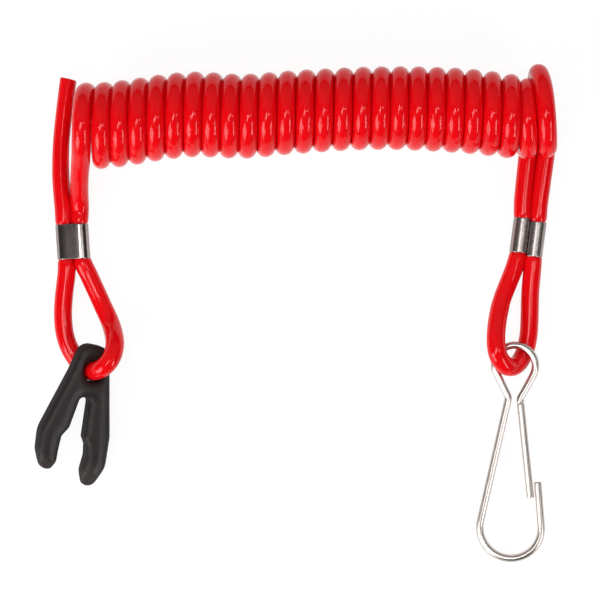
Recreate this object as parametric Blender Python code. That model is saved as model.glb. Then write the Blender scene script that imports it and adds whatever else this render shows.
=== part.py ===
"""Engine kill switch lanyard: a curly cord with a moulded switch key at one end and a wire snap hook at the
other.

It lies on a flat surface. X runs along the coil towards the hook's end, Y from the key towards the coil and
Z up. Sizes are in millimetres until they are handed to the mesh. The origin is on the surface, under the
middle of the box around the key and the snap hook.
"""
import math

import bmesh
import bpy
from mathutils import Matrix, Vector

MM = 0.001
ORIGIN = Vector((0.04, 0.43, 0.0))

# Gap that is kept between pieces which touch on the real object.
GAP = 0.3

# Cord and coil.
CORD_DIAMETER = 5.0
COIL_DIAMETER = 22.6
CORD_RADIUS = CORD_DIAMETER / 2
COIL_RADIUS = COIL_DIAMETER / 2
LONGEST_STEP = 8.0
LARGEST_TURN = 16.0
SWELL = 0.4

# Ferrules: a metal strip wrapped round two strands, which it squeezes.
FERRULE_LENGTH = 9.6
FERRULE_WALL = 0.6
STRAND_SPACING = 4.1
SQUEEZED_RADIUS = 1.6
FLARE_LENGTH = 4.5
HOLE_POINTS = 16
LOBE_RADIUS = SQUEEZED_RADIUS + GAP + FERRULE_WALL
KEY_FERRULE_TURN = 3.7
KEY_FERRULE_ROLL = 172.0
KEY_FERRULE_LIFT = STRAND_SPACING / 2 * math.sin(math.radians(KEY_FERRULE_ROLL))
KEY_FERRULE = Vector((-59.25, 57.8, LOBE_RADIUS + KEY_FERRULE_LIFT))
HOOK_FERRULE = Vector((65.5, 59.0, LOBE_RADIUS))
HOOK_FERRULE_TURN = -7.4

# Switch key: one moulded piece with two legs, lying half rolled over on the cord.
KEY_THICKNESS = 6.6
KEY_EDGE_RADIUS = 1.0
KEY_HOLE_RADIUS = 3.3
KEY_HOLE_POINTS = 24
KEY_AT = Vector((-54.2, 22.2, 7.185))
KEY_YAW = -13.5
KEY_PITCH = 2.0
KEY_ROLL = 21.5
LEAD_IN_ANGLE = 30.0

# Snap hook: one bent wire with a ring, a bow and a springy leg that closes on the nose.
WIRE_DIAMETER = 2.0
WIRE_RADIUS = WIRE_DIAMETER / 2
RING_RADIUS = 5.6
BOW_RADIUS = 8.45
BOW_CENTRE = Vector((-1.03, -44.6))
BOW_START = 5.0
BOW_STOP = -192.5
RING_START = 195.0
RING_STOP = -15.0
HOOK_AT = Vector((61.7, 23.9, 5.455))
HOOK_PITCH = 3.5
HOOK_ROLL = -10.0

for thing in list(bpy.data.objects):
    bpy.data.objects.remove(thing, do_unlink=True)


def material(name, colour, roughness, metallic=0.0):
    made = bpy.data.materials.new(name)
    made.use_nodes = True
    shader = made.node_tree.nodes["Principled BSDF"]
    shader.inputs["Base Color"].default_value = (*colour, 1.0)
    shader.inputs["Roughness"].default_value = roughness
    shader.inputs["Metallic"].default_value = metallic
    return made


red_cord = material("red_cord", (0.72, 0.01, 0.02), 0.3)
ferrule_metal = material("ferrule_metal", (0.62, 0.6, 0.58), 0.3, 1.0)
black_plastic = material("black_plastic", (0.05, 0.045, 0.045), 0.55)
hook_metal = material("hook_metal", (0.7, 0.66, 0.62), 0.2, 1.0)


def attitude(at, yaw=0.0, pitch=0.0, roll=0.0):
    """Where a piece lies: turned about Z, its far end tipped up about X, rolled about its own length."""
    turn = [Matrix.Rotation(math.radians(a), 4, axis) for a, axis in ((yaw, "Z"), (pitch, "X"), (roll, "Y"))]
    return Matrix.Translation(at - ORIGIN) @ turn[0] @ turn[1] @ turn[2]


key_frame = attitude(KEY_AT, KEY_YAW, KEY_PITCH, KEY_ROLL)
hook_frame = attitude(HOOK_AT, 0.0, HOOK_PITCH, HOOK_ROLL)
key_ferrule_frame = attitude(KEY_FERRULE, KEY_FERRULE_TURN, 0.0, KEY_FERRULE_ROLL)
hook_ferrule_frame = attitude(HOOK_FERRULE, HOOK_FERRULE_TURN)


def put(obj, frame, finish):
    """Put the object in the scene at a frame that is in millimetres."""
    bpy.context.scene.collection.objects.link(obj)
    obj.matrix_world = Matrix.Translation(frame.translation * MM) @ frame.to_3x3().to_4x4()
    obj.data.materials.append(finish)
    return obj


# Smooth routes and tubes.
def smooth(points, pieces=12):
    """Points along a smooth curve through the route's own points."""
    ends = [2 * points[0] - points[1], *points, 2 * points[-1] - points[-2]]
    line = []
    for a, b, c, d in zip(ends, ends[1:], ends[2:], ends[3:]):
        for i in range(pieces):
            t = i / pieces
            line.append(0.5 * (2 * b + (c - a) * t + (2 * a - 5 * b + 4 * c - d) * t * t
                               + (3 * b - a - 3 * c + d) * t ** 3))
    return line + [points[-1]]


def thinned(line, radii):
    """The few points that the line needs: close in bends and where its radius changes, else far apart."""
    kept = [0]
    for i in range(1, len(line) - 1):
        last = kept[-1]
        turned = math.degrees((line[last + 1] - line[last]).angle(line[i + 1] - line[i]))
        changes = (radii[i] == radii[last]) != (radii[i + 1] == radii[i])
        swelled = changes or abs(radii[i] - radii[last]) > SWELL
        if turned > LARGEST_TURN or (line[i] - line[last]).length > LONGEST_STEP or swelled:
            kept.append(i)
    kept.append(len(line) - 1)
    return [line[i] for i in kept], [radii[i] for i in kept]


def tube(name, line, radii, finish, frame=Matrix.Identity(4), sides=4):
    """A round bar along the line, with a radius at each point and flat closed ends."""
    curve = bpy.data.curves.new(name, "CURVE")
    curve.dimensions = "3D"
    curve.bevel_depth = MM
    curve.bevel_resolution = sides
    curve.use_fill_caps = True
    spline = curve.splines.new("POLY")
    spline.points.add(len(line) - 1)
    for point, at, radius in zip(spline.points, line, radii):
        point.co = (*(at * MM), 1.0)
        point.radius = radius
    return put(bpy.data.objects.new(name, curve), frame, finish)


def strand_radius(at):
    """The cord's radius, which is smaller where a ferrule squeezes it."""
    radius = CORD_RADIUS
    for frame in (key_ferrule_frame, hook_ferrule_frame):
        local = frame.inverted() @ at
        if abs(local.x) < FERRULE_LENGTH and abs(local.y) < FERRULE_LENGTH:
            beyond = abs(local.y) - FERRULE_LENGTH / 2 - GAP
            share = min(1.0, max(0.0, beyond / FLARE_LENGTH))
            radius = min(radius, SQUEEZED_RADIUS + (CORD_RADIUS - SQUEEZED_RADIUS) * share)
    return radius


def cord(name, route):
    line = smooth(route)
    line, radii = thinned(line, [strand_radius(p) for p in line])
    return tube(name, line, radii, red_cord)


def through_ferrule(frame, side, upwards):
    """The route's points in a ferrule, on the strand at the given side of its middle, towards +Y or back."""
    reach = FERRULE_LENGTH / 2 + 2 * GAP
    points = [frame @ Vector((side * STRAND_SPACING / 2, y * reach, 0.0)) for y in (1, 0.6, 0, -0.6, -1)]
    return points[::-1] if upwards else points


def at(x, y, z):
    return Vector((x, y, z)) - ORIGIN


# Coil: the outer form of the close-wound turns, lying on the surface in a slight arch.
coil_route = [at(x, y, COIL_RADIUS) for x, y in (
    (-57.6, 89.4), (-51.3, 89.5), (-43.0, 90.2), (-35.0, 91.3), (-26.0, 92.6), (-12.0, 92.2), (0.0, 92.7),
    (9.2, 93.5), (19.3, 94.0), (29.6, 94.1), (39.3, 93.7), (49.4, 92.9), (59.0, 91.9), (66.0, 91.5),
    (72.4, 91.5))]
coil_line = smooth(coil_route)
tube("coil", *thinned(coil_line, [COIL_RADIUS] * len(coil_line)), red_cord, sides=8)

# Cord at the key's end: free end beside the coil, ferrule, loop through the key's hole, ferrule, coil.
floor = CORD_RADIUS + 0.02
key_end_route = [
    at(-60.6, 102.4, floor), at(-61.4, 96.1, floor), at(-62.3, 84.6, floor), at(-62.7, 76.0, floor),
    at(-62.5, 70.0, floor), at(-62.0, 66.6, floor),
    *through_ferrule(key_ferrule_frame, 1, False),
    at(-60.9, 49.6, floor), at(-61.6, 44.0, floor), at(-62.0, 38.5, floor), at(-61.7, 33.5, floor),
    at(-60.7, 29.6, floor), at(-59.4, 27.1, floor), at(-57.8, 24.8, 2.6), at(-56.2, 23.1, 3.7),
    key_frame @ Vector((-0.1, 0.0, -1.8)), key_frame @ Vector((0.0, 0.0, 1.0)),
    at(-52.4, 22.6, 11.3), at(-50.4, 23.8, 12.7), at(-48.7, 25.5, 12.9), at(-47.5, 27.8, 12.0),
    at(-47.4, 30.4, 9.5), at(-47.9, 32.8, 6.5), at(-48.6, 35.0, 4.2), at(-49.7, 37.4, 3.0),
    at(-50.8, 39.6, floor + 0.1), at(-52.2, 42.8, floor), at(-53.8, 46.2, floor + 0.03),
    at(-55.2, 49.4, floor + 0.1),
    *through_ferrule(key_ferrule_frame, -1, True),
    at(-57.0, 66.6, floor), at(-57.0, 70.2, 4.4), at(-56.9, 73.2, 7.6), at(-56.65, 76.1, 11.05)]
cord("cord_key_end", key_end_route)

# Cord at the hook's end: coil, ferrule, loop through the hook's ring, ferrule, free end beside the coil.
hook_end_route = [
    at(65.3, 81.7, floor), at(64.8, 77.0, floor), at(63.9, 71.0, floor), at(63.3, 67.6, floor),
    *through_ferrule(hook_ferrule_frame, -1, False),
    at(61.3, 50.4, floor), at(59.7, 46.2, 3.0), at(58.2, 41.8, 3.9), at(57.1, 37.4, 5.6), at(56.4, 33.1, 7.7),
    at(56.3, 29.3, 9.0), at(56.9, 26.2, 8.9), at(58.4, 24.3, 7.9), at(60.2, 23.3, 6.0), at(62.1, 23.7, 4.2),
    at(63.6, 25.3, 3.0), at(64.8, 28.0, floor), at(65.3, 31.5, floor), at(65.4, 36.0, floor),
    at(65.6, 44.0, floor), at(66.7, 50.4, floor),
    *through_ferrule(hook_ferrule_frame, 1, True),
    at(68.8, 67.6, floor), at(69.4, 71.0, floor), at(70.2, 77.0, floor), at(70.6, 81.7, floor)]
cord("cord_hook_end", hook_end_route)


# Flat outlines.
def rounded(corners, closed=True, turn=20.0):
    """A line with each (x, y, radius) corner turned into an arc, with a point about every 20 degrees."""
    line = []
    for i, (x, y, radius) in enumerate(corners):
        here = Vector((x, y))
        if not closed and i in (0, len(corners) - 1):
            line.append(here)
            continue
        back = (Vector(corners[i - 1][:2]) - here).normalized()
        on = (Vector(corners[(i + 1) % len(corners)][:2]) - here).normalized()
        half = back.angle(on) / 2
        centre = here + (back + on).normalized() * radius / math.sin(half)
        first = here + back * radius / math.tan(half) - centre
        swept = math.pi - 2 * half
        sense = 1 if back.x * on.y - back.y * on.x < 0 else -1
        steps = max(2, math.ceil(math.degrees(swept) / turn))
        for k in range(steps + 1):
            a = sense * swept * k / steps
            line.append(centre + Vector((first.x * math.cos(a) - first.y * math.sin(a),
                                         first.x * math.sin(a) + first.y * math.cos(a))))
    return line


def arc(centre, radius, start, stop, steps):
    """Points on an arc, with its angles in degrees."""
    return [centre + radius * Vector((math.cos(a), math.sin(a)))
            for a in (math.radians(start + (stop - start) * k / steps) for k in range(steps + 1))]


def circle(radius, points, centre=Vector((0, 0))):
    """Points all round a circle."""
    return arc(centre, radius, 0, 360 * (points - 1) / points, points - 1)


def inset(loop, by):
    """The closed loop moved towards its left side."""
    moved = []
    for before, here, after in zip([loop[-1], *loop], loop, [*loop[1:], loop[0]]):
        one, two = (here - before).normalized(), (after - here).normalized()
        side = (one + two).normalized()
        normal = Vector((-side.y, side.x))
        moved.append(here + normal * by / max(0.5, side.dot(two)))
    return moved


def walls(bm, levels):
    """Side walls through loops with the same number of points. Returns the first and last loops' edges."""
    rings = [[bm.verts.new(p * MM) for p in level] for level in levels]
    for low, high in zip(rings, rings[1:]):
        for k in range(len(low)):
            n = (k + 1) % len(low)
            bm.faces.new((low[k], low[n], high[n], high[k]))
    return [[bm.edges.get((ring[k], ring[(k + 1) % len(ring)])) for k in range(len(ring))]
            for ring in (rings[0], rings[-1])]


def solid(name, loops_of_levels, frame, finish, cuts=()):
    """A closed body from an outer stack of loops and the stacks of its holes, trimmed by cutting planes."""
    bm = bmesh.new()
    ends = [walls(bm, levels) for levels in loops_of_levels]
    for end in (0, 1):
        bmesh.ops.triangle_fill(bm, edges=[e for stack in ends for e in stack[end]], use_beauty=True)
    for point, normal in cuts:
        cut = bmesh.ops.bisect_plane(bm, geom=[*bm.verts, *bm.edges, *bm.faces], dist=1e-7,
                                     plane_co=point * MM, plane_no=normal, clear_outer=True)
        rim = [e for e in cut["geom_cut"] if isinstance(e, bmesh.types.BMEdge)]
        bmesh.ops.triangle_fill(bm, edges=rim, use_beauty=True)
    bmesh.ops.recalc_face_normals(bm, faces=bm.faces)
    mesh = bpy.data.meshes.new(name)
    bm.to_mesh(mesh)
    bm.free()
    for face in mesh.polygons:
        face.use_smooth = len(face.vertices) == 4
    return put(bpy.data.objects.new(name, mesh), frame, finish)


# Ferrules: two lobes side by side, with the strip's ends meeting in the valley between them on one side.
def ferrule(name, frame):
    half = STRAND_SPACING / 2
    meet = math.degrees(math.acos(half / LOBE_RADIUS)) + 2.0
    outline = (arc(Vector((half, 0)), LOBE_RADIUS, -90, 180 - meet, 10)
               + arc(Vector((-half, 0)), LOBE_RADIUS, meet, 270, 10))
    holes = [circle(SQUEEZED_RADIUS + GAP, HOLE_POINTS, Vector((side * half, 0))) for side in (-1, 1)]
    stacks = [[[Vector((p.x, y, p.y)) for p in loop] for y in (-FERRULE_LENGTH / 2, FERRULE_LENGTH / 2)]
              for loop in (outline, *holes)]
    return solid(name, stacks, frame, ferrule_metal)


ferrule("ferrule_key_end", key_ferrule_frame)
ferrule("ferrule_hook_end", hook_ferrule_frame)

# Switch key. Its frame has the hole at the origin, the head towards +Y and the two legs towards -Y.
key_corners = [
    (3.4, 7.5, 3.4), (5.2, -0.2, 12.0), (9.2, -16.2, 8.0), (9.9, -24.7, 6.0), (7.6, -30.3, 1.8),
    (5.0, -30.9, 1.4), (3.7, -26.8, 2.0), (3.9, -22.6, 3.0), (3.3, -19.6, 0.8), (2.1, -17.8, 1.4),
    (1.1, -7.0, 1.3), (-1.6, -7.0, 1.3), (-2.7, -15.8, 1.4), (-4.3, -18.5, 1.2), (-4.3, -22.4, 3.0),
    (-4.1, -25.6, 1.6), (-5.2, -28.1, 1.3), (-7.6, -28.3, 1.8), (-9.9, -23.6, 5.0), (-10.6, -17.8, 8.0),
    (-5.8, -0.5, 12.0), (-4.2, 7.5, 3.4)]
# The outline runs clockwise; its material is then on the right of each edge.
key_outline = rounded(key_corners)
edge_steps = [math.radians(a) for a in (90, 60, 30, 0)]
key_levels = ([(KEY_EDGE_RADIUS * (1 - math.cos(a)), KEY_EDGE_RADIUS * (1 - math.sin(a))) for a in edge_steps]
              + [(KEY_EDGE_RADIUS * (1 - math.cos(a)), KEY_THICKNESS - KEY_EDGE_RADIUS * (1 - math.sin(a)))
                 for a in reversed(edge_steps)])
outer_stack = [[Vector((p.x, p.y, z - KEY_THICKNESS / 2)) for p in inset(key_outline, -by)]
               for by, z in key_levels]
hole_stack = [[Vector((p.x, p.y, z - KEY_THICKNESS / 2))
               for p in circle(KEY_HOLE_RADIUS + by, KEY_HOLE_POINTS)] for by, z in key_levels]
lean = math.radians(LEAD_IN_ANGLE)
along_tips = Vector((-0.14, -0.99, 0.0)) * math.sin(lean)
lead_ins = [(Vector((0.0, -26.2, side * KEY_THICKNESS / 2)),
             along_tips + Vector((0.0, 0.0, side * math.cos(lean)))) for side in (1, -1)]
solid("switch_key", [outer_stack, hole_stack], key_frame, black_plastic, lead_ins)

# Snap hook. Its frame has the ring's centre at the origin, the bow towards -Y. The springy leg is the rest of
# the same wire, from just below the neck to the nose, and is its own body only so that it can flex.
NECK = Vector((1.45, -9.0))
NECK_BEND = 1.4
OTHER_NECK = (-1.7, -8.7, 2.0)
NOSE_TOP = Vector((6.4, -31.9))
bow = arc(BOW_CENTRE, BOW_RADIUS, BOW_START, BOW_STOP, 14)
LEG_END_Y = -36.3
nose_share = (LEG_END_Y - NOSE_TOP.y) / (bow[0].y - NOSE_TOP.y)
LEG_END = NOSE_TOP.lerp(bow[0], nose_share) - Vector((WIRE_DIAMETER + GAP, 0.0))
along_leg = (LEG_END - NECK).normalized()
leg_start = NECK + along_leg * NECK_BEND
frame_line = [
    NOSE_TOP, *bow, *rounded([(*bow[-1], 0), OTHER_NECK, (-5.0, -2.0, 0)], False)[1:],
    *arc(Vector((0, 0)), RING_RADIUS, RING_START, RING_STOP, 14),
    *rounded([(5.0, -2.6, 0), (*NECK, NECK_BEND), (*leg_start, 0)], False)]
wire = [Vector((p.x, p.y, 0.0)) for p in frame_line]
tube("snap_hook", wire, [WIRE_RADIUS] * len(wire), hook_metal, hook_frame, sides=3)

leg_frame = hook_frame @ Matrix.Translation((*NECK, 0.0))
leg = [Vector((*(p - NECK), 0.0)) for p in (leg_start + along_leg * GAP, (leg_start + LEG_END) / 2, LEG_END)]
tube("snap_hook_gate", leg, [WIRE_RADIUS] * len(leg), hook_metal, leg_frame, sides=3)
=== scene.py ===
# %% [markdown]
# # An engine kill switch lanyard, as a lesson in Blender
#
# The object is a curly red cord. At one end it holds a black moulded key, which is pushed under the button
# of an engine's kill switch. At the other end it holds a wire snap hook, which is clipped to the rider or
# driver. Two metal ferrules close the loops in the cord. Whoever falls off pulls the key out, and the
# engine stops.
#
# A plain model of it is already there, with its sizes and its moving bodies. This lesson dresses that
# model: each step makes one piece in fine detail, lets it ride on the body that carries it and gives it its
# finish.

import math

import bmesh
import bpy
from mathutils import Matrix, Quaternion, Vector
from mathutils.kdtree import KDTree


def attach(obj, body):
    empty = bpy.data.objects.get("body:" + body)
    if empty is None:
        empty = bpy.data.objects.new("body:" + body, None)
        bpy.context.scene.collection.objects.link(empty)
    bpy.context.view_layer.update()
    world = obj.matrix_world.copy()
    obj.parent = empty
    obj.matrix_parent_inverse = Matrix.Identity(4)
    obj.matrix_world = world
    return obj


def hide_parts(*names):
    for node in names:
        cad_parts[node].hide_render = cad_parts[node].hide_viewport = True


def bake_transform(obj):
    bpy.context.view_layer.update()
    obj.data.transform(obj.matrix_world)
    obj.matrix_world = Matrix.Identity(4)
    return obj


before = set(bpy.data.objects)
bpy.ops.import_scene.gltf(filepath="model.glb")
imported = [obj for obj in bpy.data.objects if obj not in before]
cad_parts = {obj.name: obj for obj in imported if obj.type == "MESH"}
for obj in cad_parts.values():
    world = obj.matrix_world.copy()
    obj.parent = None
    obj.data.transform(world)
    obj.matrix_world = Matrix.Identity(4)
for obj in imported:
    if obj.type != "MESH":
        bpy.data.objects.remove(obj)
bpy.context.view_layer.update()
MM = 0.001

# %% [markdown]
# ## The camera
#
# A product photographer lays such a lanyard on a white table and shoots straight down. A long lens flattens
# it only a little: the camera is 0.8 m above the table and sees a square of 165 mm. The lens follows from
# those two sizes, because the sensor's width is to the lens as the field's width is to the distance.

# %% Camera straight above the table
CAMERA_HEIGHT = 0.8
FIELD_WIDTH = 0.165
FIELD_MIDDLE = (0.00296, 0.04137)
SENSOR_WIDTH = 36.0

camera_data = bpy.data.cameras.new("camera")
camera_data.sensor_width = SENSOR_WIDTH
camera_data.lens = SENSOR_WIDTH * CAMERA_HEIGHT / FIELD_WIDTH
camera = bpy.data.objects.new("camera", camera_data)
camera.location = (*FIELD_MIDDLE, CAMERA_HEIGHT)
bpy.context.scene.collection.objects.link(camera)
bpy.context.scene.camera = camera
print("lens:", round(camera_data.lens, 1), "mm")

# %% [markdown]
# ## Where the pieces lie
#
# The plain model was drawn in millimetres, and its origin was put where the drawing had the point below.
# Each piece has a place in the drawing and three turns. The same numbers are used here, so that the fine
# pieces lie where the plain ones do.

# %% Places in the drawing
MODEL_ORIGIN = Vector((0.04, 0.43, 0.0))
STRAIGHT = Matrix.Identity(4)


def at(x, y, z):
    """A point of the drawing, in millimetres from the model's own origin."""
    return Vector((x, y, z)) - MODEL_ORIGIN


def attitude(place, yaw=0.0, pitch=0.0, roll=0.0):
    """Where a piece lies: turned about Z, its far end tipped up about X, rolled about its own length."""
    turned = STRAIGHT
    for angle, axis in ((yaw, "Z"), (pitch, "X"), (roll, "Y")):
        turned = turned @ Matrix.Rotation(math.radians(angle), 4, axis)
    return Matrix.Translation(place) @ turned


LOBE_RADIUS = 2.5
KEY_FERRULE_LIFT = 0.285
key_frame = attitude(at(-54.2, 22.2, 7.185), yaw=-13.5, pitch=2.0, roll=21.5)
hook_frame = attitude(at(61.7, 23.9, 5.455), pitch=3.5, roll=-10.0)
key_ferrule_frame = attitude(at(-59.25, 57.8, LOBE_RADIUS + KEY_FERRULE_LIFT), yaw=3.7, roll=172.0)
hook_ferrule_frame = attitude(at(65.5, 59.0, LOBE_RADIUS), yaw=-7.4)
apart = (hook_frame.translation - key_frame.translation).length
print("from the key's hole to the hook's ring:", round(apart, 1), "mm")

# %% [markdown]
# ## Lines in space
#
# The cord and the hook are both round bars that follow a line in space. A few points are listed and a
# smooth curve is drawn through them. Then the curve is cut into even steps, so that the bar's rings lie the
# same distance apart. Listed points also leave small kinks, which a springy cord doesn't have. They go when
# each point moves a little towards the middle of its neighbours, several times over.

# %% Smooth, even and relaxed lines
PIECES = 24
NEARLY_STRAIGHT = 1e-6


def smooth(points, pieces=PIECES):
    """Points along a smooth curve through the given points."""
    ends = [2 * points[0] - points[1], *points, 2 * points[-1] - points[-2]]
    line = []
    for a, b, c, d in zip(ends, ends[1:], ends[2:], ends[3:]):
        for i in range(pieces):
            t = i / pieces
            line.append(0.5 * (2 * b + (c - a) * t + (2 * a - 5 * b + 4 * c - d) * t * t
                               + (3 * b - a - 3 * c + d) * t ** 3))
    return line + [points[-1]]


def evenly(line, step):
    """The same line with its points the same step apart."""
    spaced, left = [line[0]], step
    for a, b in zip(line, line[1:]):
        length = (b - a).length
        while length > 0 and left <= length:
            spaced.append(a.lerp(b, left / length))
            a, length, left = spaced[-1], length - left, step
        left -= length
    if (line[-1] - spaced[-1]).length > step / 2:
        spaced.append(line[-1])
    return spaced


def relaxed(line, passes, kept):
    """The even line without its small kinks. Points whose number is among the kept ones stay."""
    for _ in range(passes):
        inner = [b if i in kept else (a + 2 * b + c) / 4
                 for i, (a, b, c) in enumerate(zip(line, line[1:], line[2:]), 1)]
        line = [line[0], *inner, line[-1]]
    return line


def length_of(line):
    """How long a line is."""
    return sum((b - a).length for a, b in zip(line, line[1:]))


def tightest_bend(line):
    """The radius of the smallest circle through three points next to each other, and where it is."""
    bends = []
    for a, b, c in zip(line, line[1:], line[2:]):
        turned = (b - a).angle(c - b)
        bends.append(((c - a).length / 2 / max(math.sin(turned), NEARLY_STRAIGHT), b))
    return min(bends, key=lambda bend: bend[0])


corner = smooth([Vector((0, 0, 0)), Vector((10, 0, 0)), Vector((10, 10, 0))])
print("a smooth line round a corner of 10 mm:", len(corner), "points,", round(length_of(corner), 1), "mm")

# %% [markdown]
# ## A round bar along a line
#
# Blender's curves could be bevelled, but a bar made point by point can also remember how far along the line
# each point is. Its finish then stays with the bar when it bends and stretches. The ring of points is
# carried along without twisting: each ring is the one before it, turned just as much as the line turns.

# %% Meshes from rings of points
def joined(bm, rings):
    """Join each ring of points to the next one with a band of faces."""
    for low, high in zip(rings, rings[1:]):
        for k in range(len(low)):
            n = (k + 1) % len(low)
            bm.faces.new((low[k], low[n], high[n], high[k]))


def finished(bm, name):
    """The faces made so far as a mesh, all turned outwards."""
    bmesh.ops.recalc_face_normals(bm, faces=bm.faces)
    mesh = bpy.data.meshes.new(name)
    bm.to_mesh(mesh)
    bm.free()
    return mesh


def new_piece(name, mesh, matrix=STRAIGHT):
    """Put a mesh that is in millimetres in the scene, with smooth faces."""
    mesh.transform(Matrix.Scale(MM, 4) @ matrix)
    for face in mesh.polygons:
        face.use_smooth = True
    piece = bpy.data.objects.new(name, mesh)
    bpy.context.scene.collection.objects.link(piece)
    return piece


EDGE_TURNS = [math.radians(turn) for turn in (0, 30, 60)]
print("a bar's flat end is rounded off in", len(EDGE_TURNS), "rings")


# %% A bar swept along a line
def stations(line, radii, edge):
    """The bar's rings: (centre, direction, radius). The first and last few round off a flat end's edge."""
    ahead = [(b - a).normalized() for a, b in zip(line, line[1:])]
    ahead = [ahead[0]] + [(a + b).normalized() for a, b in zip(ahead, ahead[1:])] + [ahead[-1]]
    first, last = [], []
    for turn in EDGE_TURNS:
        inwards, narrower = 1 - math.cos(turn), edge * (1 - math.sin(turn))
        first.append((line[0] + ahead[0] * edge * inwards, ahead[0], radii[0] - narrower))
        last.insert(0, (line[-1] - ahead[-1] * edge * inwards, ahead[-1], radii[-1] - narrower))
    middle = [(line[0] + ahead[0] * edge, ahead[0], radii[0]), *zip(line[1:-1], ahead[1:-1], radii[1:-1]),
              (line[-1] - ahead[-1] * edge, ahead[-1], radii[-1])]
    return first + middle + last


def bar(name, line, radii, sides, edge, matrix=STRAIGHT, slant=0.0):
    """A round bar with flat ends, the first one cut askew. Its attribute "along" places each point on it."""
    bm = bmesh.new()
    along = bm.verts.layers.float_vector.new("along")
    rings, done, before = [], 0.0, None
    for centre, forward, radius in stations(line, radii, edge):
        if before is None:
            across = forward.orthogonal().normalized()
        else:
            across = before[1].rotation_difference(forward) @ across
            across = (across - forward * across.dot(forward)).normalized()
            done += (centre - before[0]).length
        before = centre, forward
        up = forward.cross(across)
        askew = slant * max(0.0, 1 - done / (2 * radius))
        ring = []
        for k in range(sides):
            a = 2 * math.pi * k / sides
            out = across * math.cos(a) + up * math.sin(a)
            point = bm.verts.new(centre + radius * (out + forward * askew * out.x))
            point[along] = Vector((math.cos(a) * radius, math.sin(a) * radius, done))
            ring.append(point)
        rings.append(ring)
    joined(bm, rings)
    for end in (rings[0], rings[-1]):
        middle = bm.verts.new(sum((p.co for p in end), Vector()) / sides)
        middle[along] = Vector((0.0, 0.0, end[0][along].z))
        for k in range(sides):
            bm.faces.new((middle, end[k], end[(k + 1) % sides]))
    return new_piece(name, finished(bm, name), matrix)


print("a bar remembers its places as the attribute: along")

# %% [markdown]
# ## The cord
#
# The cord is one length of red polyurethane, 5 mm thick. It starts at a cut end beside the coil, goes down
# through the left ferrule, round through the key's hole, up through the ferrule again and into the coil.
# The coil was wound hot on a rod, so its turns lie close together and keep their size. The last turns are
# wider, because there the cord climbs over the turn before it to get out. Then come the right ferrule, the
# hook's ring and the hidden cut end.
#
# A curve through listed points would do for the two loops, and a formula is better for the coil: a
# left-handed screw line, whose turns are given by where their upper edge lies. The coil sags and swells a
# little along its length, so its axis and its radius are given at a few places too.

# %% Places along the coil
CORD_RADIUS = 2.5
LEAN = 0.75
COIL_AXIS = [
    (-62.0, 89.0), (-57.6, 89.0), (-51.3, 89.0), (-43.0, 89.9), (-35.0, 91.2), (-26.0, 92.1), (-12.0, 91.6),
    (0.0, 92.6), (9.2, 93.2), (19.3, 93.7), (29.6, 93.8), (39.3, 93.5), (49.4, 92.9), (59.0, 91.8),
    (66.0, 91.3)]
TURN_RADII = [
    (-3, 9.15), (0, 9.2), (2, 9.2), (5, 9.1), (10, 8.9), (15, 8.75), (20, 9.0), (23, 9.0), (26, 9.0)]
TURN_TOPS = [
    (-3, -71.5), (-0.4, -57.25), (0, -54.8), (3, -40.2), (6, -25.3), (9, -10.3), (12, 4.9), (15, 20.2),
    (18, 35.2), (21, 50.1), (23, 60.2), (26, 75.5)]


def read_off(places, value):
    """The smooth height of a line of (across, height) places at a value between them."""
    for i in range(1, len(places) - 2):
        (x0, y0), (x1, y1), (x2, y2), (x3, y3) = places[i - 1:i + 3]
        if value <= x2 or i == len(places) - 3:
            t = (value - x1) / (x2 - x1)
            slope1 = (y2 - y0) / (x2 - x0) * (x2 - x1)
            slope2 = (y3 - y1) / (x3 - x1) * (x2 - x1)
            return ((2 * t ** 3 - 3 * t * t + 1) * y1 + (t ** 3 - 2 * t * t + t) * slope1
                    + (3 * t * t - 2 * t ** 3) * y2 + (t ** 3 - t * t) * slope2)


def coil_point(turn):
    """The cord's middle after so many turns. A whole number is the side nearest the camera."""
    a = 2 * math.pi * turn
    x = read_off(TURN_TOPS, turn - 0.25) + LEAN * (1 - math.sin(a))
    radius = read_off(TURN_RADII, turn)
    return at(x, read_off(COIL_AXIS, x) + radius * math.sin(a), CORD_RADIUS + radius * (1 + math.cos(a)))


FIRST_TURN = -0.125
LAST_TURN = 23.25
STEPS_A_TURN = 192
steps = round((LAST_TURN - FIRST_TURN) * STEPS_A_TURN)
coil_line = [coil_point(FIRST_TURN + (LAST_TURN - FIRST_TURN) * i / steps) for i in range(steps + 1)]
print("coil:", len(coil_line), "points,", round(length_of(coil_line)), "mm of cord")

# %% The key's end of the cord
FLOOR = CORD_RADIUS + 0.02
FERRULE_LENGTH = 9.6
STRAND_SPACING = 4.1
STRAIGHT_OUTSIDE = 0.6


def through_ferrule(ferrule, side, upwards):
    """Points in a ferrule, on the strand at the given side of its middle, towards +Y or back."""
    reach = FERRULE_LENGTH / 2 + STRAIGHT_OUTSIDE
    points = [ferrule @ Vector((side * STRAND_SPACING / 2, y * reach, 0.0)) for y in (1, 0.6, 0, -0.6, -1)]
    return points[::-1] if upwards else points


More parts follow.
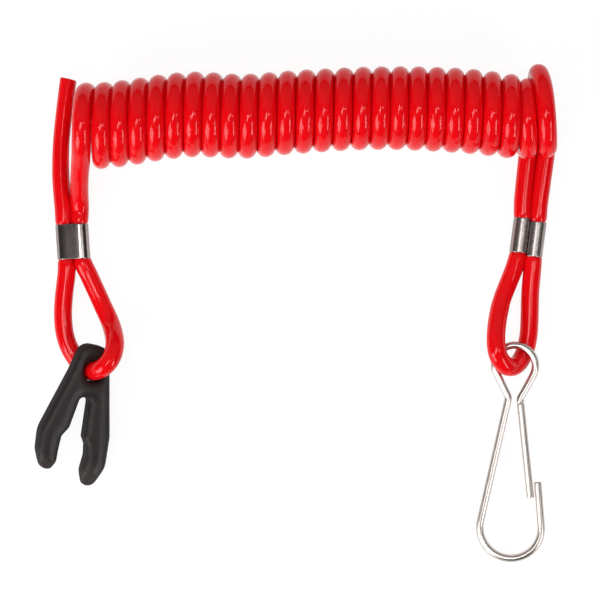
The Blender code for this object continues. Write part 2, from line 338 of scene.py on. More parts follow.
key_end = [
    at(-60.5, 102.4, FLOOR), at(-61.35, 95.7, FLOOR), at(-62.45, 85.1, FLOOR), at(-62.6, 76.1, FLOOR),
    at(-62.2, 70.8, FLOOR), at(-61.75, 66.4, FLOOR),
    *through_ferrule(key_ferrule_frame, 1, False),
    at(-60.9, 49.6, FLOOR), at(-61.6, 44.0, FLOOR), at(-62.0, 38.5, FLOOR), at(-61.7, 33.5, FLOOR),
    at(-60.7, 29.6, FLOOR), at(-59.4, 27.1, FLOOR), at(-57.8, 24.8, 2.6), at(-56.2, 23.1, 3.7),
    key_frame @ Vector((-0.2, 0.1, -2.4)), key_frame @ Vector((0.3, 0.3, 0.0)),
    key_frame @ Vector((0.7, 0.7, 2.2)), at(-51.9, 22.8, 10.7), at(-50.6, 23.2, 12.1), at(-49.1, 24.3, 12.8),
    at(-47.9, 26.2, 12.5), at(-47.3, 28.4, 11.2), at(-47.3, 30.7, 9.1), at(-47.9, 32.9, 6.5),
    at(-48.6, 35.0, 4.2), at(-49.7, 37.4, 3.0), at(-50.8, 39.6, FLOOR + 0.1), at(-52.2, 42.8, FLOOR),
    at(-53.8, 46.2, FLOOR), at(-55.2, 49.4, FLOOR),
    *through_ferrule(key_ferrule_frame, -1, True),
    at(-57.3, 66.2, FLOOR), at(-57.3, 69.8, 4.4), at(-57.1, 73.0, 7.6), at(-56.7, 76.3, 11.2),
    at(-56.2, 79.7, 14.3)]
print("key's end:", len(key_end), "points,", round(length_of(key_end)), "mm")

# %% The wide last turns and the hook's end of the cord
wide_turns = [
    at(61.1, 97.4, 5.0), at(62.0, 92.5, 2.6), at(62.9, 88.0, 4.4), at(63.9, 83.8, 7.2),
    at(64.8, 82.2, 11.3), at(64.6, 84.7, 16.9), at(64.1, 90.9, 19.4), at(64.2, 97.2, 17.2),
    at(64.6, 99.6, 12.4), at(65.5, 97.6, 8.7), at(67.2, 92.0, 7.3), at(68.9, 85.9, 8.4), at(69.9, 82.6, 12.2),
    at(69.7, 84.6, 17.0), at(69.1, 91.7, 20.0), at(68.4, 99.0, 18.2), at(67.6, 103.4, 12.6),
    at(67.5, 101.8, 7.2), at(67.4, 97.9, 3.6), at(67.1, 93.5, FLOOR), at(66.4, 88.8, FLOOR),
    at(65.8, 85.0, FLOOR), at(65.35, 81.0, FLOOR)]
hook_end = [
    at(64.9, 77.0, FLOOR), at(64.3, 71.0, FLOOR), at(64.0, 67.6, FLOOR),
    *through_ferrule(hook_ferrule_frame, -1, False),
    at(61.7, 50.4, FLOOR), at(60.0, 46.2, 3.0), at(58.2, 41.8, 3.9), at(57.1, 37.4, 5.6), at(56.4, 33.1, 7.7),
    at(56.3, 29.3, 9.0), at(56.9, 26.2, 8.9), at(58.4, 24.3, 7.9), at(60.2, 23.3, 6.0), at(62.1, 23.7, 4.2),
    at(63.6, 25.3, 3.0), at(64.8, 28.0, FLOOR), at(65.6, 31.5, FLOOR), at(65.9, 36.0, FLOOR),
    at(66.1, 44.0, FLOOR), at(66.7, 50.4, FLOOR),
    *through_ferrule(hook_ferrule_frame, 1, True),
    at(68.4, 67.6, FLOOR), at(68.9, 71.0, FLOOR), at(69.7, 77.0, FLOOR), at(70.3, 81.0, FLOOR),
    at(70.8, 85.4, FLOOR)]
print("wide turns:", round(length_of(wide_turns)), "mm, hook's end:", round(length_of(hook_end)), "mm")

# %% The whole line of the cord
CORD_STEP = 0.8
COIL_LEAD = STEPS_A_TURN // 12
RELAXING_PASSES = 8
RELAXED_COIL_POINTS = 10

before_coil = smooth([*key_end, coil_line[0], coil_line[COIL_LEAD]])[:-PIECES]
after_coil = smooth([coil_line[-1 - COIL_LEAD], coil_line[-1], *wide_turns, *hook_end])[PIECES:]
cord_line = evenly([*before_coil[:-1], *coil_line, *after_coil[1:]], CORD_STEP)
kept_from = round(length_of(before_coil) / CORD_STEP) + RELAXED_COIL_POINTS
kept_to = len(cord_line) - round(length_of(after_coil) / CORD_STEP) - RELAXED_COIL_POINTS
cord_line = relaxed(cord_line, RELAXING_PASSES, range(kept_from, kept_to))
bend_radius, bend_place = tightest_bend(cord_line)
print("cord:", len(cord_line), "points,", round(length_of(cord_line)), "mm long, tightest bend",
      round(bend_radius, 1), "mm at", [round(x, 1) for x in bend_place + MODEL_ORIGIN])

# %% [markdown]
# Inside a ferrule the strip squeezes both strands, and just outside it they swell out again. The cord's
# radius at each point therefore depends on how far the point is from the nearest ferrule's end. In the
# photograph the free end is a little thinner than the rest, and the turns lie so close that they fill the
# gap between them.

# %% The cord as one bar
SQUEEZED_RADIUS = 1.93
SWELLING_START = 0.4
SWELLING_LENGTH = 2.2
FREE_END_RADIUS = 2.3
FREE_END_LENGTH = 36.0
FREE_END_TAPER = 18.0
TURN_SWELLING = 0.07
CORD_SIDES = 40
CUT_EDGE = 0.35
CUT_SLANT = 0.1


def share(value):
    """The value, held between 0 and 1."""
    return min(1.0, max(0.0, value))


def cord_radius(point, along):
    """The cord's radius at a point, so far along from its free end."""
    thinned = share((FREE_END_LENGTH - along) / FREE_END_TAPER)
    full = CORD_RADIUS - (CORD_RADIUS - FREE_END_RADIUS) * thinned
    for ferrule_frame in (key_ferrule_frame, hook_ferrule_frame):
        local = ferrule_frame.inverted() @ point
        if max(abs(local.x), abs(local.y)) < 2 * FERRULE_LENGTH:
            beyond = (abs(local.y) - FERRULE_LENGTH / 2 + SWELLING_START) / SWELLING_LENGTH
            swelling = 1 - (1 - share(beyond)) ** 4
            return SQUEEZED_RADIUS + (full - SQUEEZED_RADIUS) * swelling
    return full + TURN_SWELLING * share(point.z / CORD_RADIUS - 1)


cord_radii = [cord_radius(point, i * CORD_STEP) for i, point in enumerate(cord_line)]
cord = bar("cord", cord_line, cord_radii, CORD_SIDES, CUT_EDGE, slant=CUT_SLANT)
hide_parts("coil", "cord_key_end", "cord_hook_end")
print("cord:", len(cord.data.polygons), "faces")

# %% [markdown]
# ## The ferrules
#
# A ferrule is a strip of plated steel. A press wraps it round both strands and drives its two ends down
# into the valley between them. A tube with two bores would have the same outline, but not the rolled edges
# and the seam. So the strip is made as it really is: a thin section with rounded edges, swept round both
# strands. The press never holds the strip quite square, so one end sits a little further along the cord
# than the other.
#
# Smooth shading has a trap here. It blends the direction of each face into the next, so the rounded edges
# would make the flat strip shine like a barrel. One more point just inside each edge keeps the flat flat.

# %% The strip's path and its section
STRIP_THICKNESS = 0.6
STRIP_EDGE = 0.16
EDGE_HOLD = 0.1
STRIP_PATH_RADIUS = LOBE_RADIUS - STRIP_THICKNESS / 2
STRIP_END_ANGLE = 140
LOBE_BOTTOM_ANGLE = -90
LOBE_STEP = 10
SEAM_HALF_GAP = 0.03
SEAM_BOTTOM = 0.95
DOWN = Vector((0.0, 0.0, -1.0))


def strip_path():
    """The middle of the strip's section in the ferrule's own XZ plane: (point, outward direction)."""
    path = []
    lobe_turns = range(LOBE_BOTTOM_ANGLE, STRIP_END_ANGLE + 1, LOBE_STEP)
    for side, turns in ((1, lobe_turns[::-1]), (-1, lobe_turns)):
        for a in map(math.radians, turns):
            out = Vector((side * math.cos(a), 0.0, math.sin(a)))
            path.append((Vector((side * STRAND_SPACING / 2, 0.0, 0.0)) + out * STRIP_PATH_RADIUS, out))
        if side == 1:
            path += [(Vector((x, 0.0, -STRIP_PATH_RADIUS)), DOWN) for x in (1.0, 0.0, -1.0)]
    right, left = [(Vector((side * (STRIP_THICKNESS / 2 + SEAM_HALF_GAP), 0.0, SEAM_BOTTOM)),
                    Vector((-side, 0.0, 0.0))) for side in (1, -1)]
    return [right, *path, left]


def rounded_section(width, height, radius, steps=3):
    """Points round an upright rectangle with rounded corners, as (across, up)."""
    x, y = width / 2 - radius, height / 2 - radius
    arcs = []
    for centre_x, centre_y, first in ((x, y, 0), (-x, y, 90), (-x, -y, 180), (x, -y, 270)):
        turns = [math.radians(first + 90 * k / steps) for k in range(steps + 1)]
        arcs.append([(centre_x + radius * math.cos(a), centre_y + radius * math.sin(a)) for a in turns])
    flat = y - EDGE_HOLD
    return [*arcs[0], *arcs[1], (-width / 2, flat), (-width / 2, -flat),
            *arcs[2], *arcs[3], (width / 2, -flat), (width / 2, flat)]


print("strip:", len(strip_path()), "places along its path")

# %% A strip wrapped round two strands
STRIP_SKEW = 0.8


def ferrule(name, matrix, skew, node):
    """A strip round two strands, that replaces the plain node."""
    bm = bmesh.new()
    path = strip_path()
    section = rounded_section(STRIP_THICKNESS, FERRULE_LENGTH, STRIP_EDGE)
    rings = []
    for i, (middle, out) in enumerate(path):
        shift = skew * (0.5 - i / (len(path) - 1))
        rings.append([bm.verts.new(middle + out * u + Vector((0.0, v + shift, 0.0))) for u, v in section])
    joined(bm, rings)
    for end in (rings[0], rings[-1]):
        bm.faces.new(end)
    piece = new_piece(name, finished(bm, name), matrix)
    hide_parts(node)
    return piece


key_ferrule = ferrule("key_end_ferrule", key_ferrule_frame, STRIP_SKEW, "ferrule_key_end")
hook_ferrule = ferrule("hook_end_ferrule", hook_ferrule_frame, -STRIP_SKEW, "ferrule_hook_end")
print("ferrule:", [round(side / MM, 1) for side in key_ferrule.dimensions], "mm")

# %% [markdown]
# ## The switch key
#
# The key is one moulding of black plastic. Its two legs spring apart under the button and let go when the
# cord is pulled. A mould gives soft, full edges, which a bevel of one size can't copy. So the flat outline
# is raised to a plate, its tips are cut to their lead-in slopes, and then the whole plate is remeshed into
# a fine even skin and smoothed a little, which rounds every edge as a mould does.

# %% The key's outline
KEY_THICKNESS = 6.6
KEY_EDGE = 1.0
KEY_HOLE_RADIUS = 2.8
KEY_HOLE_CENTRE = Vector((0.4, 0.35))
KEY_CORNERS = [
    (3.4, 7.5, 3.4), (5.2, -0.2, 12.0), (9.2, -16.2, 8.0), (9.9, -24.7, 6.0), (7.6, -30.3, 1.8),
    (5.0, -30.9, 1.4), (3.7, -26.8, 2.0), (3.9, -22.6, 3.0), (3.3, -19.6, 0.8), (2.1, -17.8, 1.4),
    (1.1, -7.0, 1.3), (-1.6, -7.0, 1.3), (-2.7, -15.8, 1.4), (-4.3, -18.5, 1.2), (-4.3, -22.4, 3.0),
    (-4.1, -25.6, 1.6), (-5.2, -28.1, 1.3), (-7.6, -28.3, 1.8), (-9.9, -23.6, 5.0), (-10.6, -17.8, 8.0),
    (-5.8, -0.5, 12.0), (-4.2, 7.5, 3.4)]


def rounded(corners, closed=True, turn=6.0):
    """A line with each (x, y, radius) corner turned into an arc."""
    line = []
    for i, (x, y, radius) in enumerate(corners):
        here = Vector((x, y))
        if not closed and i in (0, len(corners) - 1):
            line.append(here)
            continue
        back = (Vector(corners[i - 1][:2]) - here).normalized()
        on = (Vector(corners[(i + 1) % len(corners)][:2]) - here).normalized()
        half = back.angle(on) / 2
        centre = here + (back + on).normalized() * radius / math.sin(half)
        first = here + back * radius / math.tan(half) - centre
        swept = math.pi - 2 * half
        sense = 1 if back.x * on.y - back.y * on.x < 0 else -1
        steps = max(2, math.ceil(math.degrees(swept) / turn))
        for k in range(steps + 1):
            a = sense * swept * k / steps
            line.append(centre + Vector((first.x * math.cos(a) - first.y * math.sin(a),
                                         first.x * math.sin(a) + first.y * math.cos(a))))
    return line


def inset(loop, by):
    """The closed loop moved towards its left side."""
    moved = []
    for before, here, after in zip([loop[-1], *loop], loop, [*loop[1:], loop[0]]):
        one, two = (here - before).normalized(), (after - here).normalized()
        side = (one + two).normalized()
        moved.append(here + Vector((-side.y, side.x)) * by / max(0.5, side.dot(two)))
    return moved


def circle(centre, radius, points=48):
    """Points on a circle."""
    turns = [2 * math.pi * k / points for k in range(points)]
    return [centre + radius * Vector((math.cos(a), math.sin(a))) for a in turns]


key_outline = rounded(KEY_CORNERS)
print("key outline:", len(key_outline), "points")

# %% The key's plate
LEAD_IN_START = -26.2
LEAD_IN_ANGLE = math.radians(30)
LEAD_IN_WAY = (-0.14, -0.99)
TOUCHING = 1e-5


def key_plate():
    """The key's plate with its hole and its sloping tips, still with hard edges."""
    bm = bmesh.new()
    levels = [(KEY_EDGE * (1 - math.cos(a)), side * (KEY_THICKNESS / 2 - KEY_EDGE * (1 - math.sin(a))))
              for side, turns in ((-1, (90, 60, 30, 0)), (1, (0, 30, 60, 90)))
              for a in map(math.radians, turns)]
    outer = [[bm.verts.new((p.x, p.y, z)) for p in inset(key_outline, -by)] for by, z in levels]
    joined(bm, outer)
    inner = [[bm.verts.new((p.x, p.y, z)) for p in circle(KEY_HOLE_CENTRE, KEY_HOLE_RADIUS + by)]
             for by, z in levels]
    joined(bm, inner)
    for level in (0, -1):
        rims = [bm.edges.get((ring[k], ring[(k + 1) % len(ring)])) for ring in (outer[level], inner[level])
                for k in range(len(ring))]
        bmesh.ops.triangle_fill(bm, edges=rims, use_beauty=True)
    for side in (1, -1):
        sideways = [way * math.sin(LEAD_IN_ANGLE) for way in LEAD_IN_WAY]
        cut = bmesh.ops.bisect_plane(
            bm, geom=[*bm.verts, *bm.edges, *bm.faces], dist=TOUCHING, clear_outer=True,
            plane_co=(0.0, LEAD_IN_START, side * KEY_THICKNESS / 2),
            plane_no=(*sideways, side * math.cos(LEAD_IN_ANGLE)))
        rim = [edge for edge in cut["geom_cut"] if isinstance(edge, bmesh.types.BMEdge)]
        bmesh.ops.triangle_fill(bm, edges=rim, use_beauty=True)
    return finished(bm, "key_plate")


plate = key_plate()
print("key plate:", len(plate.polygons), "faces")

# %% From the plate to a moulded skin
SKIN_STEP = 0.24
SKIN_SMOOTHING = 4
CROWN_WIDTH = 3.4
CROWN_DROP = 0.22


def moulded(mesh, step, smoothing):
    """A fine even skin over a closed mesh, with its edges softened. The mesh is in millimetres."""
    block = bpy.data.objects.new("block", mesh)
    bpy.context.scene.collection.objects.link(block)
    remesh = block.modifiers.new("skin", "REMESH")
    remesh.mode, remesh.voxel_size, remesh.use_smooth_shade = "VOXEL", step, True
    soften = block.modifiers.new("soften", "SMOOTH")
    soften.factor, soften.iterations = 0.5, smoothing
    bpy.context.view_layer.update()
    evaluated = block.evaluated_get(bpy.context.evaluated_depsgraph_get())
    skin = bpy.data.meshes.new_from_object(evaluated)
    bpy.data.objects.remove(block)
    return skin


def crowned(mesh, rims):
    """Thin the plate towards its rims, so that its two faces swell like a cushion."""
    tree = KDTree(len(rims))
    for i, point in enumerate(rims):
        tree.insert(Vector((*point, 0.0)), i)
    tree.balance()
    for vertex in mesh.vertices:
        away = tree.find(Vector((*vertex.co.xy, 0.0)))[2]
        vertex.co.z *= 1 - CROWN_DROP * max(0.0, 1 - away / CROWN_WIDTH) ** 2
    return mesh


def dense(loop, step=0.4):
    """The closed loop with points close together."""
    return [a.lerp(b, k / n) for a, b in zip(loop, [*loop[1:], loop[0]])
            for n in (math.ceil((b - a).length / step),) for k in range(n)]


rims = dense(key_outline) + dense(circle(KEY_HOLE_CENTRE, KEY_HOLE_RADIUS))
key_skin = crowned(moulded(plate, SKIN_STEP, SKIN_SMOOTHING), rims)
key = new_piece("switch_key_moulding", key_skin, key_frame)
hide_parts("switch_key")
print("key:", len(key.data.polygons), "faces,", [round(side / MM, 1) for side in key.dimensions], "mm")

# %% [markdown]
# ## The snap hook
#
# The hook is one springy wire, bent round pins: a ring for the cord, a neck, a leg, the bow and a short
# nose. From the neck the wire's other end runs back as the gate and snaps in behind the nose. It is made as
# two bars that meet at the neck with the same section.

# %% The hook's wire
WIRE_RADIUS = 1.0
WIRE_EDGE = 0.2
WIRE_STEP = 0.4
WIRE_SIDES = 24
RING_RADIUS = 5.6
RING_ARC = (195, -15)
BOW_RADIUS = 8.45
BOW_CENTRE = Vector((-1.03, -44.6))
BOW_ARC = (5.0, -192.5)
NOSE_TOP = Vector((6.4, -31.9))
LEG_BEND = (-1.7, -8.7, 2.0)
LEG_MEETS_RING = (-5.0, -2.0, 0)
RING_MEETS_NECK = (5.0, -2.6, 0)
NECK = Vector((1.45, -9.0))
NECK_BEND = 1.4
GATE_END = Vector((4.45, -36.3))
along_gate = (GATE_END - NECK).normalized()
gate_start = NECK + along_gate * NECK_BEND


def arc(centre, radius, start, stop, turn=5.0):
    """Points on an arc, with its angles in degrees."""
    steps = round(abs(stop - start) / turn)
    turns = [math.radians(start + (stop - start) * k / steps) for k in range(steps + 1)]
    return [centre + radius * Vector((math.cos(a), math.sin(a))) for a in turns]


def wire_bar(name, flat_line):
    """A bar of the hook's wire along a line in the hook's plane."""
    line = evenly([Vector((p.x, p.y, 0.0)) for p in flat_line], WIRE_STEP)
    print(name, "takes", round(length_of(line)), "mm of wire")
    return bar(name, line, [WIRE_RADIUS] * len(line), WIRE_SIDES, WIRE_EDGE, hook_frame)


bow = arc(BOW_CENTRE, BOW_RADIUS, *BOW_ARC)
hook = wire_bar("snap_hook_wire", [
    NOSE_TOP, *bow, *rounded([(*bow[-1], 0), LEG_BEND, LEG_MEETS_RING], False)[1:],
    *arc(Vector((0, 0)), RING_RADIUS, *RING_ARC),
    *rounded([RING_MEETS_NECK, (*NECK, NECK_BEND), (*gate_start, 0)], False)])
gate = wire_bar("snap_hook_gate_wire", [gate_start, GATE_END])
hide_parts("snap_hook")
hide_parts("snap_hook_gate")

# %% [markdown]
# ## What moves with what
#
# Four pieces ride on one body of the plain model each: the key's ferrule, the key, the hook's ferrule and
# the hook. The cord and the gate's wire get their places baked into their meshes and ride on no body.

# %% Riding on the bodies
CORD_LENGTH = length_of(cord_line) * MM

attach(key_ferrule, "key_end")
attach(key, "key")
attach(hook_ferrule, "hook_end")
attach(hook, "hook")
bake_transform(cord)
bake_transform(gate)
cord_line[0] * MM
[p * MM for p in cord_line]
print("cord declared:", round(CORD_LENGTH, 3), "m")

# %% [markdown]
# ## Writing finishes as sums
#
# A finish is a small network of nodes. Wired by hand, even "one minus the mask" takes three lines. The
# class below lets a node's output be used like a number, and each sign adds the Math node that it stands
# for. Everything else, such as a noise or a ramp, is added by one method that takes the node's type, its
# settings and its inputs.

# %% A value in a finish
class Value:
    """A node's output that can be added, subtracted and multiplied like a number."""

    def __init__(self, finish, socket):
        self.finish, self.socket = finish, socket

    def _sum(self, operation, first, second):
        return self.finish.node("ShaderNodeMath", {"operation": operation}, {0: first, 1: second})

    def __add__(self, other):
        return self._sum("ADD", self, other)

    def __sub__(self, other):
        return self._sum("SUBTRACT", self, other)

    def __rsub__(self, other):
        return self._sum("SUBTRACT", other, self)

    def __mul__(self, other):
        return self._sum("MULTIPLY", self, other)

    __radd__, __rmul__ = __add__, __mul__


print("a value can be added, subtracted and multiplied")

# %% A finish and its nodes
# A Mix node has sockets for every kind of value. The ones for colours have these numbers.
MIX_AMOUNT, MIX_FIRST, MIX_SECOND = 0, 6, 7
MIXED_COLOUR = 2


class Finish:
    """A material, with its plain numbers set on the shader's own sockets."""

    def __init__(self, name, **plain):
        self.material = bpy.data.materials.new(name)
        self.material.use_nodes = True
        self.tree = self.material.node_tree
        self.shader = self.tree.nodes["Principled BSDF"]
        for socket, value in plain.items():
            self.feed(self.shader.inputs[socket.replace("_", " ")], value)

    def feed(self, socket, value):
        """Link a value to a socket, or set a plain number or colour on it."""
        if isinstance(value, Value):
            self.tree.links.new(value.socket, socket)
        else:
            socket.default_value = value

    def node(self, kind, settings, inputs, output=0):
        """Add a node, set it up, then wire it. Returns one of its outputs."""
        made = self.tree.nodes.new(kind)
        for name, value in settings.items():
            if name == "stops":
                self.set_stops(made.color_ramp.elements, value)
            else:
                setattr(made, name, value)
        for name, value in inputs.items():
            self.feed(made.inputs[name], value)
        return Value(self, made.outputs[output])

    def set_stops(self, elements, stops):
        """Give a ramp its grey stops, each a (place, shade)."""
        elements.remove(elements[1])
        for i, (place, shade) in enumerate(stops):
            stop = elements[0] if i == 0 else elements.new(place)
            stop.position, stop.color = place, (shade, shade, shade, 1.0)

    def noise(self, where, scale, detail=3.0, roughness=0.5):
        return self.node("ShaderNodeTexNoise", {}, {"Vector": where, "Scale": scale, "Detail": detail,
                                                    "Roughness": roughness})

    def ramp(self, value, *stops):
        return self.node("ShaderNodeValToRGB", {"stops": stops}, {0: value})

    def stretched(self, where, scale):
        """The same place with its three directions stretched or squeezed, for streaks."""
        return self.node("ShaderNodeVectorMath", {"operation": "MULTIPLY"}, {0: where, 1: scale})

    def dot(self, one, other):
        return self.node("ShaderNodeVectorMath", {"operation": "DOT_PRODUCT"}, {0: one, 1: other}, "Value")

    def colours(self, amount, first, second):
        """A mix of two colours. An amount of 1 is all of the second one."""
        inputs = {MIX_AMOUNT: amount, MIX_FIRST: (*first, 1.0), MIX_SECOND: (*second, 1.0)}
        return self.node("ShaderNodeMix", {"data_type": "RGBA"}, inputs, MIXED_COLOUR)

    def along_bar(self):
        """Where a point is on its bar, in millimetres."""
        return self.node("ShaderNodeAttribute", {"attribute_name": "along"}, {}, "Vector")

    def in_piece(self):
        """Where a point is in its piece, in millimetres."""
        return self.stretched(self.node("ShaderNodeTexCoord", {}, {}, "Object"), (1 / MM, 1 / MM, 1 / MM))

    def finish(self, height=None, depth=0.01, **changing):
        """Wire what changes over the surface. A height of 1 is raised by the depth, in millimetres."""
        for socket, value in changing.items():
            self.feed(self.shader.inputs[socket.replace("_", " ")], value)
        if height is not None:
            bump = self.node("ShaderNodeBump", {}, {
                "Height": height, "Distance": depth * MM, "Strength": 1.0})
            self.feed(self.shader.inputs["Normal"], bump)
        return self.material


print("ready to mix finishes")

# %% [markdown]
# ## The cord's finish
#
# Polyurethane is clear-surfaced and full-coloured: a smooth gloss over a deep red. What keeps it from
# looking like wet paint is small. The extruder leaves faint lines along the cord, handling leaves a haze of
# fine scuffs, and the colour is a touch deeper in places. All three are laid out along the cord, so they
# bend with it. A little light also goes in and comes out again as red, which is what Subsurface does.

# %% Red polyurethane
CLEAR_RED = (0.8, 0.003, 0.007)
DEEP_RED = (0.72, 0.0015, 0.004)

red = Finish("red_polyurethane", IOR=1.4, Specular_IOR_Level=0.36, Subsurface_Weight=0.4,
             Subsurface_Scale=0.0016, Subsurface_Radius=(1.0, 0.07, 0.06))
cord_place = red.along_bar()
draw_lines = red.noise(red.stretched(cord_place, (6.0, 6.0, 0.02)), 1.0, 2.0)
mottle = red.noise(cord_place, 0.12, 2.0)
scuffs = red.noise(red.stretched(cord_place, (1.0, 1.0, 0.4)), 0.9, 6.0, 0.65)
haze = red.ramp(scuffs, (0.45, 0.0), (0.75, 1.0))
specks = red.ramp(red.noise(cord_place, 2.2, 2.0), (0.66, 0.0), (0.72, 1.0))
red_material = red.finish(
    Base_Color=red.colours(mottle * 0.8 + specks * 0.08, CLEAR_RED, DEEP_RED),
    Roughness=0.1 + haze * 0.06 + specks * 0.08,
    height=draw_lines * 0.15 + haze * 0.05 + specks * 0.1, depth=0.003)
cord.data.materials.append(red_material)
print("cord finish:", len(red.tree.nodes), "nodes")

# %% [markdown]
# ## The metals
#
# The ferrules are stamped from rolled, plated strip, so their gloss is broken by fine rolling lines. The
# left one shows its smooth back. The right one shows the side with the seam, which the press has rubbed, so
# its lines are deeper and its gloss is softer. The hook is bright nickel on drawn wire, with a few long
# draw marks and tiny pits where it was bent. All are metals to the shader, and most of what is seen in them
# is the table and the lamps. Specular Tint makes them mirror less where they are seen at a slant, as worn
# plating does.

# %% Plated strip and nickel wire
STRIP_GREY = (0.46, 0.41, 0.395)
DEEP_STRIP_GREY = (0.3, 0.26, 0.25)
STRIP_TINT = (0.7, 0.62, 0.6, 1.0)
NICKEL = (0.76, 0.7, 0.66)
DEEP_NICKEL = (0.62, 0.56, 0.52)
NICKEL_TINT = (0.42, 0.35, 0.33, 1.0)


def plated(metal, place, colour, deep_colour, rough, streaks, streak_depth):
    """A worn metal with streaks: their scale is how often they change in each direction, per millimetre."""
    lines = metal.noise(metal.stretched(place, streaks), 1.0, 4.0, 0.6)
    clouds = metal.noise(place, 0.5, 3.0)
    pits = metal.ramp(metal.noise(place, 3.5, 2.0), (0.68, 0.0), (0.76, 1.0))
    return metal.finish(
        Base_Color=metal.colours(clouds * 0.4 + lines * 0.6, colour, deep_colour),
        Roughness=rough + lines * 0.08 + clouds * 0.06 + pits * 0.12,
        height=lines - pits * 0.6, depth=streak_depth)


smooth_strip = Finish("plated_strip", Metallic=1.0, Specular_Tint=STRIP_TINT)
key_ferrule.data.materials.append(
    plated(smooth_strip, smooth_strip.in_piece(), STRIP_GREY, DEEP_STRIP_GREY, 0.08, (5.0, 0.06, 5.0), 0.003))
rubbed_strip = Finish("rubbed_strip", Metallic=1.0, Specular_Tint=STRIP_TINT)
hook_ferrule.data.materials.append(
    plated(rubbed_strip, rubbed_strip.in_piece(), STRIP_GREY, DEEP_STRIP_GREY, 0.2, (3.0, 0.04, 3.0), 0.008))
nickel = Finish("nickel_wire", Metallic=1.0, Specular_Tint=NICKEL_TINT)
nickel_material = plated(nickel, nickel.along_bar(), NICKEL, DEEP_NICKEL, 0.22, (4.0, 4.0, 0.12), 0.002)
for piece in (hook, gate):
    piece.data.materials.append(nickel_material)
print("metals:", ", ".join(metal.material.name for metal in (smooth_strip, rubbed_strip, nickel)))

# %% [markdown]
# ## The key's finish
#
# The mould of the key was spark-eroded, which leaves a fine matt grain on the plastic, and use rubs it a
# little in places. Ridges are a little shinier, and their colour is painted paler as a painted highlight, as
# is the colour at the ends of the legs. The side walls are rougher, and their colour is painted darker as
# painted shade. So the finish first needs to know three things about each point. Geometry's Pointiness is
# higher on ridges. A wall is where the surface turns away from the key's own up. A tip is where a point lies
# far enough down the key's length.

# %% Where the key's walls, ridges and tips are
TIPS_START = 23.5
TIPS_END = 27.5

black = Finish("black_moulded_plastic", IOR=1.36)
key_place = black.in_piece()
key_turn = key_frame.to_3x3()
facing_up = black.dot(black.node("ShaderNodeTexCoord", {}, {}, "Normal"), key_turn @ Vector((0.0, 0.0, 1.0)))
# Steep marks the side walls. They are rougher, and the colour is painted darker there as painted shade.
steep = 1.0 - black.node("ShaderNodeMath", {"operation": "ABSOLUTE"}, {0: facing_up})
# Ridges are a little shinier, and the colour is painted paler there as a painted highlight.
ridges = black.ramp(black.node("ShaderNodeNewGeometry", {}, {}, "Pointiness"), (0.5, 0.0), (0.6, 1.0))
leg_way = key_turn @ Vector((0.0, -1.0, 0.0))
down_the_legs = black.dot(key_place, leg_way) - key_frame.translation.dot(leg_way)
# At the tips the colour is painted paler as a painted highlight.
tips = black.node("ShaderNodeMapRange", {}, {
    "Value": down_the_legs, "From Min": TIPS_START, "From Max": TIPS_END})
print("the tips start", TIPS_START, "mm from the hole")

# %% Black moulded plastic
DEEP_BLACK = (0.01, 0.006, 0.0065)
# The paler black is rubbed plastic and, on ridges and tips, a painted highlight.
RUBBED_AND_HIGHLIT_BLACK = (0.038, 0.03, 0.029)

grain = black.noise(key_place, 4.0, 3.0, 0.7)
blotches = black.noise(key_place, 0.25, 3.0)
rubbing = black.noise(black.stretched(key_place, (0.5, 1.4, 1.0)), 0.8, 5.0, 0.7)
rub = black.ramp(rubbing, (0.5, 0.0), (0.72, 1.0))
# Own blotches and rubbing, plus painted highlights on ridges and tips and painted shade on the walls.
tone_and_painted_light = blotches * 0.5 + rub * 0.3 + ridges * 0.3 + tips * 0.6 - steep * 0.5
black_material = black.finish(
    Base_Color=black.colours(tone_and_painted_light, DEEP_BLACK, RUBBED_AND_HIGHLIT_BLACK),
    Roughness=0.34 + grain * 0.14 - rub * 0.08 - ridges * 0.05 + steep * 0.4,
    height=grain * 0.8 + rub * 0.3, depth=0.03)
key.data.materials.append(black_material)
print("key finish:", len(black.tree.nodes), "nodes")

# %% [markdown]
# ## The table
#
# The table is white and runs out of the picture. In a product photograph it comes out plain white, with
# only a breath of shadow under the object. So the floor is a real white surface that takes the shadow, and
# rays that come straight from the camera, or by way of a mirror or through glass, see it mostly at full
# white.

# %% White floor
FLOOR_SIZE = 6.0
FLOOR_SHINE = 1.05
WHITENING = 0.86
SKY_COLOUR = (0.95, 0.93, 0.92, 1.0)
SKY_STRENGTH = 0.07

half_floor = FLOOR_SIZE / 2
floor_mesh = bpy.data.meshes.new("floor")
floor_mesh.from_pydata([(-half_floor, -half_floor, 0.0), (half_floor, -half_floor, 0.0),
                        (half_floor, half_floor, 0.0), (-half_floor, half_floor, 0.0)], [], [(0, 1, 2, 3)])
floor = bpy.data.objects.new("floor", floor_mesh)
bpy.context.scene.collection.objects.link(floor)

white = Finish("white_table", Base_Color=(0.9, 0.9, 0.9, 1.0), Roughness=0.7)
rays = [white.node("ShaderNodeLightPath", {}, {}, name)
        for name in ("Is Camera Ray", "Is Glossy Ray", "Is Transmission Ray")]
seen = white.node("ShaderNodeMath", {"operation": "ADD", "use_clamp": True}, {
    0: rays[0] + rays[1], 1: rays[2]})
shining = white.node("ShaderNodeEmission", {}, {"Color": (1.0, 1.0, 1.0, 1.0), "Strength": FLOOR_SHINE})
mixed = white.node("ShaderNodeMixShader", {}, {
    0: seen * WHITENING, 1: Value(white, white.shader.outputs[0]), 2: shining})
white.tree.links.new(mixed.socket, white.tree.nodes["Material Output"].inputs["Surface"])
floor_mesh.materials.append(white.material)

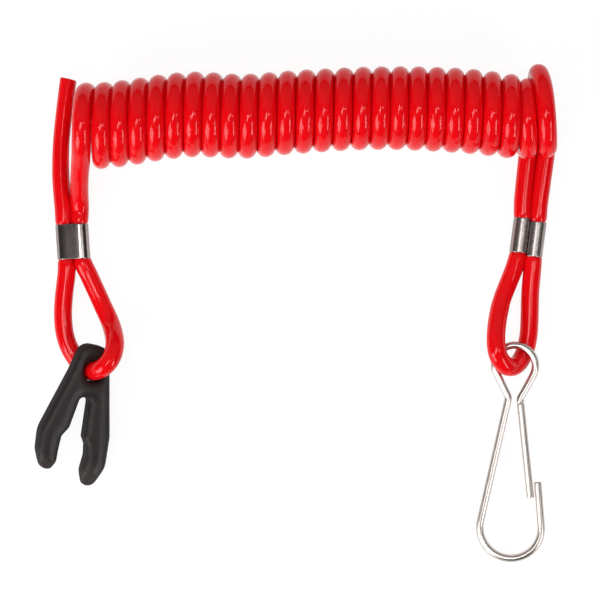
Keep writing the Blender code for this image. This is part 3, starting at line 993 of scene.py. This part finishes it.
world = bpy.data.worlds.new("studio")
bpy.context.scene.world = world
world.use_nodes = True
sky = world.node_tree.nodes["Background"]
sky.inputs["Color"].default_value = SKY_COLOUR
sky.inputs["Strength"].default_value = SKY_STRENGTH
print("floor:", FLOOR_SIZE, "m wide")

# %% [markdown]
# ## The lamps
#
# A large, faint wall of light behind the object and a fill just in front of it give the plain light. The
# fill is kept out of mirrors, because the wall already shows there. Four smaller lamps draw the sharp
# lights: one by the camera for the crests of the turns, a thin one to its right for the fine lines along
# the cord and the ferrules, and two low ones in front, left and right, for the lower half of each turn.

# %% Soft boxes round the object
SUBJECT = Vector((0.0, 0.045, 0.01))


def lamp(name, direction, distance, width, height, radiance, turned=0.0):
    """A soft box that faces the object. A radiance of 1 is as bright as white paper in plain light."""
    data = bpy.data.lights.new(name, "AREA")
    data.shape, data.size, data.size_y = "RECTANGLE", width, height
    data.energy = radiance * math.pi * width * height
    made = bpy.data.objects.new(name, data)
    way = Vector(direction).normalized()
    made.location = SUBJECT + way * distance
    made.rotation_mode = "QUATERNION"
    made.rotation_quaternion = way.to_track_quat("Z", "Y") @ Quaternion((0, 0, 1), math.radians(turned))
    bpy.context.scene.collection.objects.link(made)
    return made


lamp("soft_wall_behind", (0.0, 0.72, 0.70), distance=1.3, width=4.0, height=1.7, radiance=0.25)
lamp("lamp_by_the_camera", (-0.14, -0.08, 0.98), distance=0.95, width=0.20, height=0.46, radiance=8.0)
lamp("thin_lamp", (0.42, 0.02, 0.90), distance=0.90, width=0.05, height=0.50, radiance=7.0)
lamp("lamp_left", (-0.69, -0.58, 0.45), distance=0.75, width=0.46, height=0.50, radiance=6.0)
lamp("lamp_right", (0.71, -0.50, 0.50), distance=0.80, width=0.20, height=0.50, radiance=7.0, turned=-40.0)
fill = lamp("fill_from_behind", (0.0, 0.75, 0.66), distance=1.2, width=1.0, height=1.0, radiance=1.0)
fill.visible_glossy = False

# %% [markdown]
# ## Plain colours
#
# The view transform is set to Standard, so that a colour comes out about as it was written.

# %% Finish
bpy.context.scene.view_settings.view_transform = "Standard"
